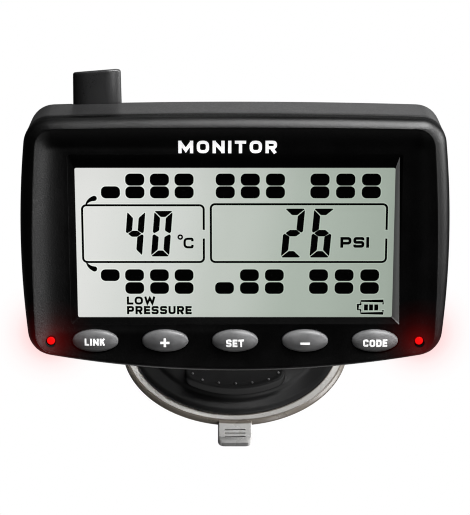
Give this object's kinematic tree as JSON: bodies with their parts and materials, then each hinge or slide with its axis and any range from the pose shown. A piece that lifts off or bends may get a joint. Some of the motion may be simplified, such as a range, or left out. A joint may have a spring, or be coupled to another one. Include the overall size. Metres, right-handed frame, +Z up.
{
  "type": "tire pressure monitor",
  "caption": "Tyre pressure receiver: wide tilted screen in a black case with oval keys, warning lamps and stub aerial, on a ball-jointed arm with a lever-locked suction cup.",
  "frame": {"origin": "centre of the suction cup's sealing face, which lies in z = 0", "axes": "+Z up out of the cup, -Y the way the screen faces, +X to the right of someone looking at the screen"},
  "size_m": [0.1168, 0.0848, 0.1029],
  "materials": {
    "case_black": "fine-grained black ABS",
    "case_rear": "fine-grained black ABS, slightly lighter",
    "lens_clear": "clear polished acrylic",
    "lcd_glass": "reflective grey-green liquid crystal glass",
    "white_plastic": "white moulded plastic",
    "rubber_grey": "conductive elastomer",
    "board_green": "green solder mask on glass-epoxy board",
    "button_metal": "satin gunmetal paint on plastic",
    "led_red": "red diffused lamp body, lit",
    "steel": "plated steel",
    "brass": "spring wire",
    "chip_black": "black moulding compound",
    "battery_silver": "foil pouch",
    "foam": "adhesive foam",
    "mount_black": "satin black nylon",
    "nylon": "natural nylon",
    "cup_soft": "clear soft vinyl, slightly yellowed grey"
  },
  "bodies": {
    "base": {"suction_cup": "cup_soft", "cup_cap": "mount_black", "pivot_bolt": "steel", "pivot_nut": "steel"},
    "clamp_stud": {"cup_stud": "steel", "lever_pin": "steel"},
    "lever": {"lock_lever": "mount_black"},
    "knob": {"thumb_knob": "mount_black"},
    "arm": {"arm": "mount_black"},
    "collar": {"collar_nut": "mount_black"},
    "seat": {"ball_seat": "nylon"},
    "stud": {"ball_stud": "mount_black", "stud_screw": "steel"},
    "dock": {"dock_plate": "mount_black"},
    "monitor": {"front_housing": "case_black", "rear_housing": "case_rear", "antenna_cover": "case_rear", "antenna_coil": "brass", "display_lens": "lens_clear", "lcd_panel": "lcd_glass", "lcd_holder": "white_plastic", "backlight_panel": "white_plastic", "zebra_strip_top": "rubber_grey", "zebra_strip_bottom": "rubber_grey", "main_pcb": "board_green", "led_left": "led_red", "led_right": "led_red", "mcu_chip": "chip_black", "lcd_driver_chip": "chip_black", "rf_shield_can": "steel", "battery_pad": "foam", "battery_pack": "battery_silver", "buzzer": "chip_black", "charging_jack": "chip_black", "case_screw_1": "steel", "case_screw_2": "steel", "case_screw_3": "steel", "case_screw_4": "steel", "switch_body_link": "steel", "switch_body_plus": "steel", "switch_body_set": "steel", "switch_body_minus": "steel", "switch_body_code": "steel"},
    "key_link": {"button_link": "button_metal", "switch_plunger_link": "chip_black"},
    "key_plus": {"button_plus": "button_metal", "switch_plunger_plus": "chip_black"},
    "key_set": {"button_set": "button_metal", "switch_plunger_set": "chip_black"},
    "key_minus": {"button_minus": "button_metal", "switch_plunger_minus": "chip_black"},
    "key_code": {"button_code": "button_metal", "switch_plunger_code": "chip_black"}
  },
  "joints": [
    {"name": "lever_hinge", "type": "hinge", "parent": "clamp_stud", "child": "lever", "pos_m": [0, 0, 0.0135], "axis": [-1, 0, 0], "range_deg": [0, 70]},
    {"name": "clamp_stud_slide", "type": "slide", "parent": "base", "child": "clamp_stud", "axis": [0, 0, 1], "range_m": [-0.0015, 0]},
    {"name": "arm_hinge", "type": "hinge", "parent": "base", "child": "arm", "pos_m": [0, 0.015, 0.0156], "axis": [1, 0, 0], "range_deg": [-45, 5]},
    {"name": "knob_turn", "type": "hinge", "parent": "base", "child": "knob", "pos_m": [0, 0.015, 0.0156], "axis": [1, 0, 0], "range_deg": [0, 360]},
    {"name": "collar_turn", "type": "hinge", "parent": "arm", "child": "collar", "pos_m": [0, 0.00536, 0.05414], "axis": [0, 0.9135, -0.4067], "range_deg": [0, 180]},
    {"name": "ball_yaw", "type": "hinge", "parent": "arm", "child": "seat", "pos_m": [0, 0.00536, 0.05414], "axis": [0, 0.4067, 0.9135], "range_deg": [-20, 20]},
    {"name": "ball_pitch", "type": "hinge", "parent": "seat", "child": "stud", "pos_m": [0, 0.00536, 0.05414], "axis": [-1, 0, 0], "range_deg": [-8, 20]},
    {"name": "ball_roll", "type": "hinge", "parent": "stud", "child": "dock", "pos_m": [0, 0.00536, 0.05414], "axis": [0, 0.9135, -0.4067], "range_deg": [-20, 20]},
    {"name": "dock_slide", "type": "slide", "parent": "dock", "child": "monitor", "axis": [0, 0.4067, 0.9135], "range_m": [0, 0.026]},
    {"name": "key_link_press", "type": "slide", "parent": "monitor", "child": "key_link", "axis": [0, 0.9135, -0.4067], "range_m": [0, 0.0005], "stiffness_N_per_m": 120, "springref_m": -0.004},
    {"name": "key_plus_press", "type": "slide", "parent": "monitor", "child": "key_plus", "axis": [0, 0.9135, -0.4067], "range_m": [0, 0.0005], "stiffness_N_per_m": 120, "springref_m": -0.004},
    {"name": "key_set_press", "type": "slide", "parent": "monitor", "child": "key_set", "axis": [0, 0.9135, -0.4067], "range_m": [0, 0.0005], "stiffness_N_per_m": 120, "springref_m": -0.004},
    {"name": "key_minus_press", "type": "slide", "parent": "monitor", "child": "key_minus", "axis": [0, 0.9135, -0.4067], "range_m": [0, 0.0005], "stiffness_N_per_m": 120, "springref_m": -0.004},
    {"name": "key_code_press", "type": "slide", "parent": "monitor", "child": "key_code", "axis": [0, 0.9135, -0.4067], "range_m": [0, 0.0005], "stiffness_N_per_m": 120, "springref_m": -0.004}
  ],
  "couplings": [
    {"joint": "lever_hinge", "follows": "clamp_stud_slide", "rad_per_m": -814.4}
  ]
}
